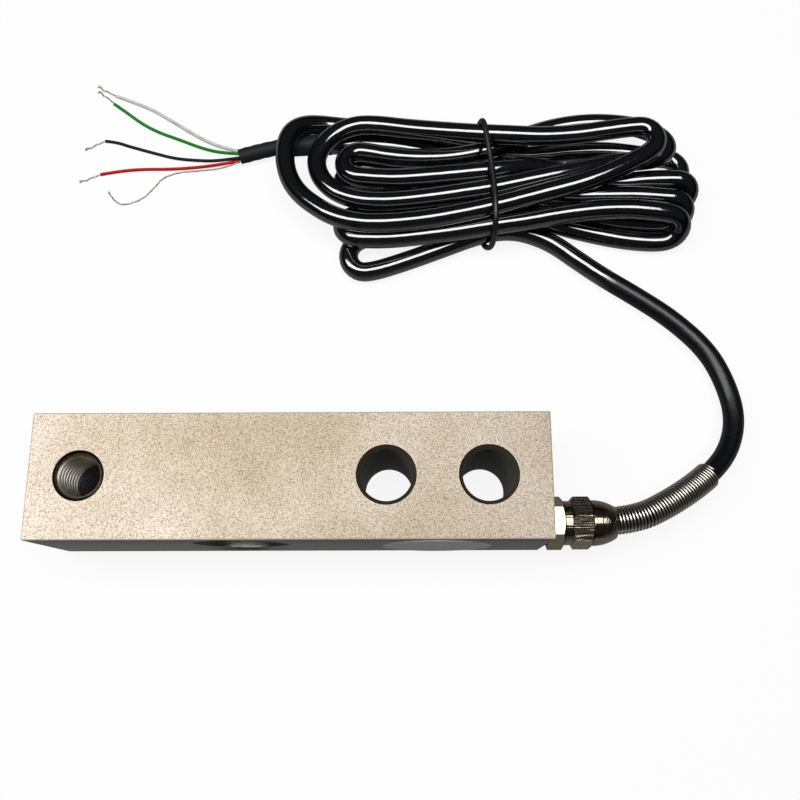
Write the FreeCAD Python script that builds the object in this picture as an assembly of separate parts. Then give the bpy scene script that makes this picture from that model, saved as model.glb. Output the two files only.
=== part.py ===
import FreeCAD, Part
import math
import os

from FreeCAD import Vector

os.makedirs("parts", exist_ok=True)

# Beam: a square bar, with the origin midway between its mounting holes on the underside.
BEAM_SIDE = 31.8
EDGE_BREAK = 0.3
END_TO_LOAD = 12.7
LOAD_TO_MOUNT = 76.2
MOUNT_PITCH = 25.4
MOUNT_TO_END = 15.7
LOAD_HOLE_R = 6.0
LOAD_CHAMFER = 0.35
MOUNT_HOLE_R = 6.5
MOUNT_CHAMFER = 1.0

# Gauge pockets, one in each side face, with a thin web left between them.
POCKET_FROM_LOAD_END = 50.8
POCKET_R = 13.0
POCKET_CHAMFER = 0.8
WEB = 9.0
WEB_HOLE_R = 2.0
WEB_HOLE_OFFSET = 9.0
COVER_DEPTH = 2.5
COVER_T = 0.8
COVER_RIM = 3.0
COVER_DISH = 0.5

# Label plate on the front side face.
LABEL_R = 14.0
LABEL_T = 0.75
LABEL_EDGE = 0.2

# Cable gland on the beam's end, set to the front so that its wire channel clears the mounting holes.
GLAND_Y = -10.3
GLAND_FLATS = 12.0
GLAND_HEX_LENGTH = 4.4
SHANK_R = 4.0
SHANK_LENGTH = 7.6
SHANK_HOLE_LENGTH = 8.0
SHANK_TIP = 0.6
SPIGOT_R = 4.8
SPIGOT_LENGTH = 6.5
CHANNEL_R = 2.0
GLAND_BORE_R = 2.2
O_RING_R = 0.4
O_RING_MID_R = 4.7
SEAL_SEAT_R = 3.9
SEAL_SEAT_LENGTH = 3.2
SEAL_PROUD = 1.0
CLAMP_RING_T = 0.8
CLAMP_RING_R = 4.5

# Compression nut: a collar, a hexagon turned against the gland's, and a rounded nose.
NUT_GAP = 0.1
COLLAR_R = 5.7
COLLAR_LENGTH = 1.65
NUT_HEX_LENGTH = 5.5
NUT_HEX_TURN = 16.0
NOSE_LENGTH = 6.4
NOSE_BULGE = 0.55
NOSE_TIP_R = 4.05
NOSE_FLARE = 0.2
NOSE_FLARE_LENGTH = 3.0
HEX_CORNER_CUT = 0.75

# Strain relief spring: close-wound turns of round wire over the cable.
SPRING_R = 3.7
SPRING_WIRE = 0.75
SPRING_TURNS = 49
SPRING_GROOVE = 0.3

# Cable, its hank and its end.
CABLE_R = 2.85
CABLE_CLEARANCE = 0.1
JACKET_IN_GLAND = 7.1
HANK_HEIGHT = 17.0
HANK_WAIST_HEIGHT = 18.0
HANK_LEFT_HEIGHT = 11.5
HANK_RIGHT_HEIGHT = 14.0
HANK_EDGE_HEIGHT = 10.5
HANK_CREST_Y = 88.5
BAND_R = 0.83
BAND_X = 17.3
BAND_CLEARANCE = 0.03
WAIST_ROUND = 4.0
SLEEVE_R = 3.15
SLEEVE_END_R = 2.3
CORE_R = 0.5
CONDUCTOR_R = 0.23
DRAIN_R = 0.2

# Gauges and wiring in the pockets.
FILM_X = 12.0
FILM_Z = 9.0
FILM_T = 0.2
FOIL_T = 0.06
FOIL_BARS = 5
FOIL_BAR_LENGTH = 3.6
FOIL_BAR_WIDTH = 0.3
FOIL_BAR_PITCH = 0.6
FOIL_SHIFT = 2.9
BOARD_X = 14.0
BOARD_Z = 4.5
BOARD_T = 1.0
BOARD_DROP = 8.2
PAD_R = 0.8
PAD_T = 0.1
PAD_COUNT = 6
PAD_PITCH = 2.2
PAD_DROP = 1.1
CHIP_X = 2.0
CHIP_Z = 1.2
CHIP_T = 0.6
CHIP_PITCH = 4.2
CHIP_RISE = 1.2
FINE_LEAD_R = 0.16
FINE_LAP = 0.7
FINE_PITCH = 0.7
FINE_ARCH = 1.5
CORE_SPREAD = 0.8

# Places worked out from the dimensions above.
mount_x = MOUNT_PITCH / 2
load_x = -mount_x - LOAD_TO_MOUNT
load_end_x = load_x - END_TO_LOAD
cable_end_x = mount_x + MOUNT_TO_END
beam_length = cable_end_x - load_end_x
half_side = BEAM_SIDE / 2
mid_z = half_side
pocket_x = load_end_x + POCKET_FROM_LOAD_END
pocket_depth = half_side - WEB / 2
web_face_y = WEB / 2
cover_inner_y = half_side - COVER_DEPTH - COVER_T

gland_shoulder_x = cable_end_x + GLAND_HEX_LENGTH
spigot_end_x = gland_shoulder_x + SPIGOT_LENGTH
seal_start_x = spigot_end_x - SEAL_SEAT_LENGTH
seal_end_x = spigot_end_x + SEAL_PROUD
clamp_end_x = seal_end_x + CLAMP_RING_T
nut_start_x = gland_shoulder_x + NUT_GAP
nut_hex_x = nut_start_x + COLLAR_LENGTH
nose_x = nut_hex_x + NUT_HEX_LENGTH
nose_end_x = nose_x + NOSE_LENGTH
jacket_x = cable_end_x + JACKET_IN_GLAND
cable_bore_r = CABLE_R + CABLE_CLEARANCE

X_AXIS = Vector(1, 0, 0)
Y_AXIS = Vector(0, 1, 0)
Z_AXIS = Vector(0, 0, 1)
THROUGH = 1.0
BEND_SHARE = 0.45

# Routes of the free cable and of its cores, as points from end to end.
LEAD_ROUTE = [
    (jacket_x, GLAND_Y, mid_z),
    (50.0, GLAND_Y, mid_z),
    (62.6, -4.5, 13.4),
    (74.6, 3.5, 9.0),
    (81.6, 11.0, 5.6),
    (84.9, 20.6, 3.5),
    (83.3, 30.8, CABLE_R),
    (78.8, 40.8, CABLE_R),
    (69.5, 50.2, CABLE_R),
    (60.3, 58.4, CABLE_R),
    (49.3, 66.4, 3.2),
    (37.2, 75.4, 3.4),
]
SLEEVE_ROUTE = [(-43.0, 107.4, SLEEVE_R), (-58.7, 103.95, 2.45)]
CORE_ROUTES = {
    "white": [(-57.5, 105.2, 2.6), (-64.3, 107.2, 2.2), (-71.2, 110.9, 1.2), (-79.0, 116.2, 0.7),
              (-87.0, 121.5, 0.55), (-93.5, 124.4, 0.55), (-99.3, 126.7, 0.55)],
    "green": [(-57.5, 104.4, 3.4), (-64.0, 105.2, 2.5), (-70.6, 107.5, 1.3), (-78.2, 111.0, 0.7),
              (-85.0, 113.7, 0.55), (-90.3, 116.7, 0.55), (-95.5, 120.8, 0.55), (-99.7, 123.9, 0.55)],
    "black": [(-57.5, 103.9, 2.3), (-65.5, 103.1, 1.4), (-73.0, 103.8, 0.7), (-79.5, 104.6, 0.55),
              (-86.3, 106.6, 0.55), (-93.6, 108.8, 0.55), (-98.0, 110.4, 0.55), (-101.4, 110.8, 0.55)],
    "red": [(-57.5, 103.5, 1.3), (-65.5, 102.1, 0.9), (-73.5, 101.3, 0.6), (-81.0, 100.9, 0.55),
            (-89.0, 101.0, 0.55), (-96.1, 100.4, 0.55), (-102.0, 99.3, 0.55)],
}
CONDUCTOR_ROUTES = {
    "white": [(-99.3, 126.7, 0.55), (-102.5, 128.2, 0.5), (-105.4, 130.4, 0.4)],
    "green": [(-99.7, 123.9, 0.55), (-102.4, 126.6, 0.5), (-105.2, 128.6, 0.4)],
    "black": [(-101.4, 110.8, 0.55), (-104.5, 109.4, 0.5), (-107.6, 107.9, 0.3)],
    "red": [(-102.0, 99.3, 0.55), (-105.1, 97.9, 0.5), (-108.5, 96.9, 0.3)],
}
DRAIN_ROUTE = [
    (-57.5, 102.9, 2.1), (-63.5, 101.1, 0.8), (-70.5, 100.5, 0.3), (-77.5, 100.1, 0.25),
    (-82.0, 98.6, 0.25), (-84.6, 95.9, 0.25), (-86.8, 92.6, 0.25), (-90.6, 89.9, 0.25),
    (-94.8, 89.0, 0.25), (-97.6, 90.7, 0.25), (-99.2, 93.7, 0.25),
]
HANK_OUTLINE = [
    (-47.2, 101.0), (-42.5, 89.0), (-29.8, 79.8), (-27.9, 70.0), (-20.0, 62.9), (-6.0, 66.5),
    (BAND_X, 73.2), (45.0, 72.0), (68.0, 70.6), (76.6, 77.0), (79.6, 90.0), (72.6, 104.0),
    (52.0, 113.6), (30.0, 109.0), (BAND_X, 108.0), (-8.0, 112.0), (-34.0, 116.4),
]
HANK_CORE = [(78.1, 5.8), (103.2, 5.8), (103.2, 9.6), (97.0, 12.0), (82.0, 12.2), (78.1, 10.2)]


# Basic shapes along the axes.
def rod(radius, start, end):
    run = Vector(*end) - Vector(*start)
    return Part.makeCylinder(radius, run.Length, Vector(*start), run)


def rod_x(radius, x0, x1):
    return rod(radius, (x0, GLAND_Y, mid_z), (x1, GLAND_Y, mid_z))


def cone_x(r0, r1, x0, x1):
    return Part.makeCone(r0, r1, x1 - x0, Vector(x0, GLAND_Y, mid_z), X_AXIS)


def block(size, centre):
    corner = Vector(*centre) - Vector(*size) / 2
    return Part.makeBox(size[0], size[1], size[2], corner)


# A hexagonal bar along the gland's axis, with its corners turned off at one or both ends.
def hexagon_x(x0, x1, turn, cut_start, cut_end):
    corner_r = GLAND_FLATS / math.sqrt(3)
    corners = []
    for index in range(7):
        angle = math.radians(60 * index + turn)
        corners.append(Vector(x0, GLAND_Y + corner_r * math.cos(angle), mid_z + corner_r * math.sin(angle)))
    bar = Part.Face(Part.makePolygon(corners)).extrude(X_AXIS * (x1 - x0))
    slope = math.sqrt(3)
    reach = HEX_CORNER_CUT * slope
    start_r = corner_r - reach if cut_start else corner_r
    end_r = corner_r - reach if cut_end else corner_r
    profile = [(x0, 0), (x0, start_r), (x0 + HEX_CORNER_CUT, corner_r), (x1 - HEX_CORNER_CUT, corner_r),
               (x1, end_r), (x1, 0), (x0, 0)]
    return bar.common(turned_x(profile))


# A solid turned about the gland's axis from (x, radius) points.
def turned_x(profile):
    points = [Vector(x, GLAND_Y + radius, mid_z) for x, radius in profile]
    face = Part.Face(Part.makePolygon(points))
    return face.revolve(Vector(0, GLAND_Y, mid_z), X_AXIS, 360)


# A path of straight runs joined by tangent arcs that are as large as the runs allow.
def rounded_path(route, label=None):
    points = [Vector(*point) for point in route]
    run_start = points[0]
    edges = []
    for before, point, after in zip(points, points[1:], points[2:]):
        inward = (point - before).normalize()
        outward = (after - point).normalize()
        trim = BEND_SHARE * min((point - before).Length, (after - point).Length)
        half_turn = inward.getAngle(outward) / 2
        radius = trim / math.tan(half_turn)
        bisector = (outward - inward).normalize()
        first = point - inward * trim
        last = point + outward * trim
        middle = point + bisector * (radius / math.cos(half_turn) - radius)
        edges.append(Part.makeLine(run_start, first))
        edges.append(Part.Arc(first, middle, last).toShape())
        run_start = last
        if label:
            print(label, "bend radius", round(radius, 1))
    edges.append(Part.makeLine(run_start, points[-1]))
    return Part.Wire(edges)


# A round section carried along a path.
def tube(path, radius, label=None):
    edge = path.OrderedEdges[0]
    start = edge.valueAt(edge.FirstParameter)
    direction = edge.tangentAt(edge.FirstParameter)
    section = Part.Wire(Part.makeCircle(radius, start, direction))
    solid = path.makePipeShell([section], True, False)
    if label:
        exact = math.pi * radius ** 2 * path.Length
        print(label, "length", round(path.Length, 1), "volume over section times length",
              round(solid.Volume / exact, 4))
    return solid


# The point and direction at a distance along a path.
def path_station(path, distance):
    for edge in path.OrderedEdges:
        if distance <= edge.Length:
            break
        distance -= edge.Length
    distance = min(distance, edge.Length)
    place = edge.getParameterByLength(distance)
    return edge.valueAt(place), edge.tangentAt(place)


def save(name, shape):
    shape.exportStep("parts/" + name + ".step")
    print(name, "valid", shape.isValid(), "solids", len(shape.Solids), "volume", round(shape.Volume, 2))


# Beam body.
def through_hole(x, radius, chamfer):
    hole = Part.makeCylinder(radius, BEAM_SIDE + 2 * THROUGH, Vector(x, 0, -THROUGH))
    bottom = Part.makeCone(radius + chamfer, radius, chamfer, Vector(x, 0, 0))
    top = Part.makeCone(radius, radius + chamfer, chamfer, Vector(x, 0, BEAM_SIDE - chamfer))
    return hole.fuse([bottom, top])


def gauge_pocket(side):
    outer = Vector(pocket_x, side * half_side, mid_z)
    inward = Y_AXIS * -side
    pocket = Part.makeCylinder(POCKET_R, pocket_depth, outer, inward)
    rim = Part.makeCone(POCKET_R + POCKET_CHAMFER, POCKET_R, POCKET_CHAMFER, outer, inward)
    return pocket.fuse(rim)


def beam_body():
    bar = Part.makeBox(beam_length, BEAM_SIDE, BEAM_SIDE, Vector(load_end_x, -half_side, 0))
    bar = bar.makeChamfer(EDGE_BREAK, bar.Edges)
    cuts = [through_hole(load_x, LOAD_HOLE_R, LOAD_CHAMFER)]
    for side in (-1, 1):
        cuts.append(through_hole(side * mount_x, MOUNT_HOLE_R, MOUNT_CHAMFER))
        cuts.append(gauge_pocket(side))
    cuts.append(rod_x(SHANK_R, cable_end_x - SHANK_HOLE_LENGTH, cable_end_x + THROUGH))
    cuts.append(rod_x(CHANNEL_R, pocket_x, cable_end_x))
    web_hole_x = pocket_x - WEB_HOLE_OFFSET
    cuts.append(rod(WEB_HOLE_R, (web_hole_x, -WEB, mid_z), (web_hole_x, WEB, mid_z)))
    return bar.cut(cuts)


# Pressed pocket cover: a flat rim and a shallow raised middle.
def pocket_cover(side):
    dish_r = POCKET_R - COVER_RIM
    outer = half_side - COVER_DEPTH
    profile = [
        (0, cover_inner_y), (POCKET_R, cover_inner_y), (POCKET_R, outer), (dish_r, outer),
        (dish_r - COVER_DISH, outer + COVER_DISH), (0, outer + COVER_DISH), (0, cover_inner_y),
    ]
    points = [Vector(pocket_x + radius, side * y, mid_z) for radius, y in profile]
    face = Part.Face(Part.makePolygon(points))
    return face.revolve(Vector(pocket_x, 0, mid_z), Y_AXIS, 360)


# Shear rosette: a film with two foil grids that lie at 45 degrees to the beam.
def strain_gauge(side):
    film_y = side * (web_face_y + FILM_T / 2)
    gauge = block((FILM_X, FILM_T, FILM_Z), (pocket_x, film_y, mid_z))
    foil_y = side * (web_face_y + FILM_T + FOIL_T / 2)
    bars = []
    for grid in (-1, 1):
        centre = Vector(pocket_x + grid * FOIL_SHIFT, foil_y, mid_z)
        for index in range(FOIL_BARS):
            offset = (index - (FOIL_BARS - 1) / 2) * FOIL_BAR_PITCH
            bar = block((FOIL_BAR_LENGTH, FOIL_T, FOIL_BAR_WIDTH), centre + Z_AXIS * offset)
            bar.rotate(centre, Y_AXIS, grid * 45)
            bars.append(bar)
    return gauge.fuse(bars)


# Soldering board under the front rosette, with a row of pads.
def pad_place(index):
    x = pocket_x + (index - (PAD_COUNT - 1) / 2) * PAD_PITCH
    return Vector(x, -web_face_y - BOARD_T, mid_z - BOARD_DROP - PAD_DROP)


def terminal_board():
    centre = (pocket_x, -web_face_y - BOARD_T / 2, mid_z - BOARD_DROP)
    board = block((BOARD_X, BOARD_T, BOARD_Z), centre)
    pads = [Part.makeCylinder(PAD_R, PAD_T, pad_place(index), -Y_AXIS) for index in range(PAD_COUNT)]
    return board.fuse(pads)


def trim_resistors():
    chips = []
    for index in (-1, 0, 1):
        place = (pocket_x + index * CHIP_PITCH, -web_face_y - BOARD_T - CHIP_T / 2,
                 mid_z - BOARD_DROP + CHIP_RISE)
        chips.append(block((CHIP_X, CHIP_T, CHIP_Z), place))
    return Part.makeCompound(chips)


# Cores from the cable along the wire channel to the pads, the lower pair to the nearer pads.
def channel_lead(pad_index, across, up):
    pad = pad_place(pad_index)
    y = GLAND_Y + across * CORE_SPREAD
    z = mid_z + up * CORE_SPREAD
    land_y = pad.y - PAD_T - CORE_R
    route = [(jacket_x, y, z), (pad.x, y, z), (pad.x, land_y, pad.z)]
    return tube(rounded_path(route), CORE_R)


# Fine wires of the gauges: short ones at the front, long ones through the web from the rear.
def gauge_leads():
    wires = []
    film_edge_z = mid_z - FILM_Z / 2
    for side in (-1, 1):
        x = pocket_x + side * CHIP_PITCH / 2
        top = (x, -web_face_y - FILM_T - FINE_LEAD_R, film_edge_z + FINE_LAP)
        bend = (x, -web_face_y - BOARD_T - CHIP_T, film_edge_z - FINE_LAP)
        foot = (x, -web_face_y - BOARD_T - FINE_LEAD_R, mid_z - BOARD_DROP + CHIP_RISE)
        wires.append(tube(rounded_path([top, bend, foot]), FINE_LEAD_R))
    return Part.makeCompound(wires)


def bridge_leads():
    wires = []
    hole_x = pocket_x - WEB_HOLE_OFFSET
    rear_y = web_face_y + FILM_T + FINE_LEAD_R
    front_y = -web_face_y - BOARD_T - FINE_LEAD_R
    for index in (-1, 0, 1):
        z = mid_z + index * FINE_PITCH
        route = [
            (pocket_x - FILM_X / 2 + FINE_LAP, rear_y, z),
            (hole_x, rear_y + FINE_ARCH, z),
            (hole_x, front_y - FINE_ARCH, z),
            (pocket_x - BOARD_X / 2 + FINE_LAP, front_y, z - BOARD_DROP + CHIP_RISE),
        ]
        wires.append(tube(rounded_path(route), FINE_LEAD_R))
    return Part.makeCompound(wires)


def potting(side, sunk):
    fill = rod(POCKET_R, (pocket_x, side * web_face_y, mid_z), (pocket_x, side * cover_inner_y, mid_z))
    return fill.cut(sunk)


def label_disc():
    disc = rod(LABEL_R, (0, -half_side, mid_z), (0, -half_side - LABEL_T, mid_z))
    rim = [edge for edge in disc.Edges if edge.BoundBox.YMax < -half_side - LABEL_T / 2]
    return disc.makeFillet(LABEL_EDGE, rim)


# Gland body: threaded shank, hexagon, and a spigot with the seat of the rubber bush.
def gland_body():
    shank_x = cable_end_x - SHANK_LENGTH
    shank = turned_x([
        (shank_x, 0), (shank_x, SHANK_R - SHANK_TIP), (shank_x + SHANK_TIP, SHANK_R),
        (cable_end_x, SHANK_R), (cable_end_x, 0), (shank_x, 0),
    ])
    body = shank.fuse([
        hexagon_x(cable_end_x, gland_shoulder_x, 0, False, True),
        rod_x(SPIGOT_R, gland_shoulder_x, spigot_end_x),
    ])
    groove_depth = 2 * O_RING_R
    groove = rod_x(O_RING_MID_R + O_RING_R, cable_end_x, cable_end_x + groove_depth)
    groove = groove.cut(rod_x(O_RING_MID_R - O_RING_R, cable_end_x, cable_end_x + groove_depth))
    return body.cut([
        groove,
        rod_x(GLAND_BORE_R, shank_x, jacket_x),
        rod_x(cable_bore_r, jacket_x, spigot_end_x),
        cone_x(cable_bore_r, SEAL_SEAT_R, seal_start_x, spigot_end_x),
    ])


def gland_o_ring():
    centre = Vector(cable_end_x + O_RING_R, GLAND_Y, mid_z)
    return Part.makeTorus(O_RING_MID_R, O_RING_R, centre, X_AXIS)


def gland_seal():
    bush = cone_x(cable_bore_r, SEAL_SEAT_R, seal_start_x, spigot_end_x)
    bush = bush.fuse(rod_x(SEAL_SEAT_R, spigot_end_x, seal_end_x))
    return bush.cut(rod_x(CABLE_R, seal_start_x, seal_end_x))


def clamp_ring():
    ring = rod_x(CLAMP_RING_R, seal_end_x, clamp_end_x)
    return ring.cut(rod_x(cable_bore_r, seal_end_x, clamp_end_x))


# Compression nut: the nose is turned from a bulging arc.
def gland_nut():
    nose_r = GLAND_FLATS / 2 - NUT_GAP
    bulge = Vector((nose_x + nose_end_x) / 2, GLAND_Y + (nose_r + NOSE_TIP_R) / 2 + NOSE_BULGE, mid_z)
    start = Vector(nose_x, GLAND_Y + nose_r, mid_z)
    end = Vector(nose_end_x, GLAND_Y + NOSE_TIP_R, mid_z)
    axis_start = Vector(nose_x, GLAND_Y, mid_z)
    axis_end = Vector(nose_end_x, GLAND_Y, mid_z)
    edges = [
        Part.Arc(start, bulge, end).toShape(), Part.makeLine(end, axis_end),
        Part.makeLine(axis_end, axis_start), Part.makeLine(axis_start, start),
    ]
    nose = Part.Face(Part.Wire(edges)).revolve(axis_start, X_AXIS, 360)
    nut = nose.fuse([
        rod_x(COLLAR_R, nut_start_x, nut_hex_x),
        hexagon_x(nut_hex_x, nose_x, NUT_HEX_TURN, True, True),
    ])
    return nut.cut([
        rod_x(SPIGOT_R, nut_start_x, seal_end_x),
        rod_x(CLAMP_RING_R, seal_end_x, clamp_end_x),
        rod_x(SPRING_R, clamp_end_x, nose_end_x),
        cone_x(SPRING_R, SPRING_R + NOSE_FLARE, nose_end_x - NOSE_FLARE_LENGTH, nose_end_x),
    ])


# Spring: the turns lie against each other, so crest and groove circles follow the cable's bend.
def strain_relief_spring(path):
    first = clamp_end_x - jacket_x
    circles = []
    for step in range(2 * SPRING_TURNS + 1):
        place, direction = path_station(path, first + step * SPRING_WIRE / 2)
        radius = SPRING_R - SPRING_GROOVE if step % 2 == 0 else SPRING_R
        circles.append(Part.Wire(Part.makeCircle(radius, place, direction)))
    outer = Part.makeLoft(circles, True, True)
    return outer.cut(tube(path, cable_bore_r))


# A block with one arched side, cut from the floor up to an arc through three points.
def arched_block(left, crest, right, sweep):
    foot_left = Vector(left.x, left.y, 0)
    foot_right = Vector(right.x, right.y, 0)
    edges = [
        Part.Arc(left, crest, right).toShape(), Part.makeLine(right, foot_right),
        Part.makeLine(foot_right, foot_left), Part.makeLine(foot_left, left),
    ]
    return Part.Face(Part.Wire(edges)).extrude(sweep)


# Outline round the strands where the band ties them, a given distance off their core.
def waist_outline(distance):
    points = [Vector(BAND_X, y, z) for y, z in HANK_CORE + HANK_CORE[:1]]
    return Part.makePolygon(points).makeOffset2D(distance)


# Tied hank of cable: its plan outline, domed both ways, with a groove for the band and the mouth of the lead.
def cable_hank():
    outline = Part.BSplineCurve()
    outline.interpolate([Vector(x, y, 0) for x, y in HANK_OUTLINE], PeriodicFlag=True)
    plan = Part.Face(Part.Wire(outline.toShape())).extrude(Z_AXIS * (HANK_WAIST_HEIGHT + THROUGH))
    box = plan.BoundBox
    along = arched_block(
        Vector(box.XMin, box.YMin, HANK_LEFT_HEIGHT), Vector(BAND_X, box.YMin, HANK_WAIST_HEIGHT),
        Vector(box.XMax, box.YMin, HANK_RIGHT_HEIGHT), Y_AXIS * box.YLength)
    across = arched_block(
        Vector(box.XMin, box.YMin, HANK_EDGE_HEIGHT), Vector(box.XMin, HANK_CREST_Y, HANK_HEIGHT),
        Vector(box.XMin, box.YMax, HANK_EDGE_HEIGHT), X_AXIS * box.XLength)
    groove_width = 2 * (BAND_R + BAND_CLEARANCE)
    slab = block((groove_width, 2 * box.YLength, 2 * box.ZLength), (BAND_X, HANK_CREST_Y, 0))
    core = Part.Face(waist_outline(WAIST_ROUND))
    core.translate(X_AXIS * -groove_width)
    groove = slab.cut(core.extrude(X_AXIS * (2 * groove_width)))
    entry = rod(cable_bore_r, LEAD_ROUTE[-2], LEAD_ROUTE[-1])
    return plan.common(along).common(across).cut([groove, entry])


def hank_band():
    return tube(waist_outline(WAIST_ROUND + BAND_R + BAND_CLEARANCE), BAND_R, "band")


def end_sleeve(hank):
    start = Vector(*SLEEVE_ROUTE[0])
    run = Vector(*SLEEVE_ROUTE[1]) - start
    return Part.makeCone(SLEEVE_R, SLEEVE_END_R, run.Length, start, run).cut(hank)


# Build and write every piece.
lead_path = rounded_path(LEAD_ROUTE, label="cable lead")
hank = cable_hank()
sleeve = end_sleeve(hank)
sides = {"front": -1, "rear": 1}
leads = {
    "white": channel_lead(5, -1, -1),
    "green": channel_lead(4, 1, -1),
    "black": channel_lead(3, -1, 1),
    "red": channel_lead(2, 1, 1),
}
gauges = {name: strain_gauge(side) for name, side in sides.items()}
board = terminal_board()
chips = trim_resistors()
front_wires = gauge_leads()
rear_wires = bridge_leads()

save("beam_body", beam_body())
for name, side in sides.items():
    save("pocket_cover_" + name, pocket_cover(side))
    save("strain_gauge_" + name, gauges[name])
save("terminal_board", board)
save("trim_resistors", chips)
save("gauge_leads", front_wires)
save("bridge_leads", rear_wires)
front_pieces = [gauges["front"], board, chips, front_wires, rear_wires] + list(leads.values())
save("potting_front", potting(-1, front_pieces))
save("potting_rear", potting(1, [gauges["rear"], rear_wires]))
for colour, lead in leads.items():
    save("lead_" + colour, lead)
save("label_disc", label_disc())
save("gland_body", gland_body())
save("gland_o_ring", gland_o_ring())
save("gland_seal", gland_seal())
save("clamp_ring", clamp_ring())
save("gland_nut", gland_nut())
save("strain_relief_spring", strain_relief_spring(lead_path))
save("cable_lead", tube(lead_path, CABLE_R, "cable lead"))
save("cable_hank", hank)
save("hank_band", hank_band())
save("end_sleeve", sleeve)
for colour, route in CORE_ROUTES.items():
    core = tube(rounded_path(route, label=colour), CORE_R, colour).cut(sleeve)
    conductor = tube(rounded_path(CONDUCTOR_ROUTES[colour]), CONDUCTOR_R).cut(core)
    save("core_" + colour, core)
    save("conductor_" + colour, conductor)
save("shield_drain_wire", tube(rounded_path(DRAIN_ROUTE, label="drain"), DRAIN_R, "drain").cut(sleeve))
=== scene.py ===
import bpy
import numpy as np
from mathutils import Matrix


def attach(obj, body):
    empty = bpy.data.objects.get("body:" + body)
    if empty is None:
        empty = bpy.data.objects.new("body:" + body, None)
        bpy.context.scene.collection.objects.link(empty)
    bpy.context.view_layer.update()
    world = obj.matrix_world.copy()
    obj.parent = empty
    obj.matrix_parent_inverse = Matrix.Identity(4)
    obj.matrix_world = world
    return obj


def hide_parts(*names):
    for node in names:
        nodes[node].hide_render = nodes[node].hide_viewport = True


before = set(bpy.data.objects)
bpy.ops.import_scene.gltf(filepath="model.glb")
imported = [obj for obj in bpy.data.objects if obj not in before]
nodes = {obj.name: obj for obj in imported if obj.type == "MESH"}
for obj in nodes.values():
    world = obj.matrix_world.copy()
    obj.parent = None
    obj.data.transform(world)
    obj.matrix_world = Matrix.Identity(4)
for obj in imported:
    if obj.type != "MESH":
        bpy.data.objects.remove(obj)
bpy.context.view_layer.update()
mm = 0.001
print("frame loaded,", len(nodes), "nodes")

# camera at the photograph's viewing angle
camera = {
    "place": (-7.0, -36.8, 248.3),      # mm
    "turn": (14.42, 0.63, -0.11),       # degrees about X, Y and Z, from looking straight down
    "lens": 40.0,                       # mm, on a sensor of 36 mm
}


def addCamera():
    data = bpy.data.cameras.new("photoCamera")
    data.lens = camera["lens"]
    data.clip_start = 0.01
    item = bpy.data.objects.new("photoCamera", data)
    item.location = np.array(camera["place"]) * mm
    item.rotation_euler = np.radians(camera["turn"])
    bpy.context.scene.collection.objects.link(item)
    bpy.context.scene.camera = item


addCamera()
print("camera set")


# colours are written as sRGB hex and turned to linear here
def linear(hexColour):
    srgb = np.array([int(hexColour[i:i + 2], 16) for i in (1, 3, 5)]) / 255
    rgb = np.where(srgb <= 0.04045, srgb / 12.92, ((srgb + 0.055) / 1.055) ** 2.4)
    return (*rgb.tolist(), 1.0)


# gives a node's inputs their values, or links them to other nodes' outputs
def setInputs(tree, node, sockets):
    for key, value in sockets.items():
        if isinstance(value, bpy.types.NodeSocket):
            tree.links.new(value, node.inputs[key])
        else:
            node.inputs[key].default_value = value


def addNode(tree, kind, settings=None, sockets=None):
    node = tree.nodes.new(kind)
    for key, value in (settings or {}).items():
        setattr(node, key, value)
    setInputs(tree, node, sockets or {})
    return node


# maps a value from one range to another, held at both ends
def addRange(tree, value, start, end, low=0.0, high=1.0):
    node = addNode(tree, "ShaderNodeMapRange", None,
                   {"Value": value, "From Min": start, "From Max": end, "To Min": low, "To Max": high})
    return node.outputs["Result"]


def addMath(tree, operation, *values):
    return addNode(tree, "ShaderNodeMath", {"operation": operation}, dict(enumerate(values))).outputs[0]


def addVector(tree, operation, *values):
    return addNode(tree, "ShaderNodeVectorMath", {"operation": operation}, dict(enumerate(values))).outputs[0]


def addScaled(tree, vector, factor):
    node = addNode(tree, "ShaderNodeVectorMath", {"operation": "SCALE"}, {0: vector, "Scale": factor})
    return node.outputs[0]


def addDistance(tree, place, point):
    node = addNode(tree, "ShaderNodeVectorMath", {"operation": "DISTANCE"}, {0: place, 1: point})
    return node.outputs["Value"]


# noise with about so many patches to the metre as its scale says
def addNoise(tree, place, scale, detail):
    node = addNode(tree, "ShaderNodeTexNoise", None, {"Vector": place, "Scale": scale, "Detail": detail})
    return node.outputs["Fac"]


# colour ramp: its stops are places from 0 to 1 and their colours
def addRamp(tree, value, stops):
    ramp = addNode(tree, "ShaderNodeValToRGB", None, {"Fac": value})
    elements = ramp.color_ramp.elements
    while len(elements) < len(stops):
        elements.new(0.5)
    for element, (place, colour) in zip(elements, stops):
        element.position = place
        element.color = colour
    return ramp.outputs


def addMix(tree, share, first, second, blend="MIX"):
    node = addNode(tree, "ShaderNodeMix", {"data_type": "RGBA", "blend_type": blend},
                   {"Factor": share, "A": first, "B": second})
    return node.outputs["Result"]


def addBump(tree, height, strength, distance, **under):
    node = addNode(tree, "ShaderNodeBump", None,
                   {"Height": height, "Strength": strength, "Distance": distance, **under})
    return node.outputs["Normal"]


def addPlace(tree, kind="Object"):
    return addNode(tree, "ShaderNodeTexCoord").outputs[kind]


def addAxes(tree, vector):
    return addNode(tree, "ShaderNodeSeparateXYZ", None, {"Vector": vector}).outputs


def newMaterial(name):
    material = bpy.data.materials.new(name)
    material.use_nodes = True
    tree = material.node_tree
    shader = next(n for n in tree.nodes if n.type == "BSDF_PRINCIPLED")
    return material, tree, shader


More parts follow.
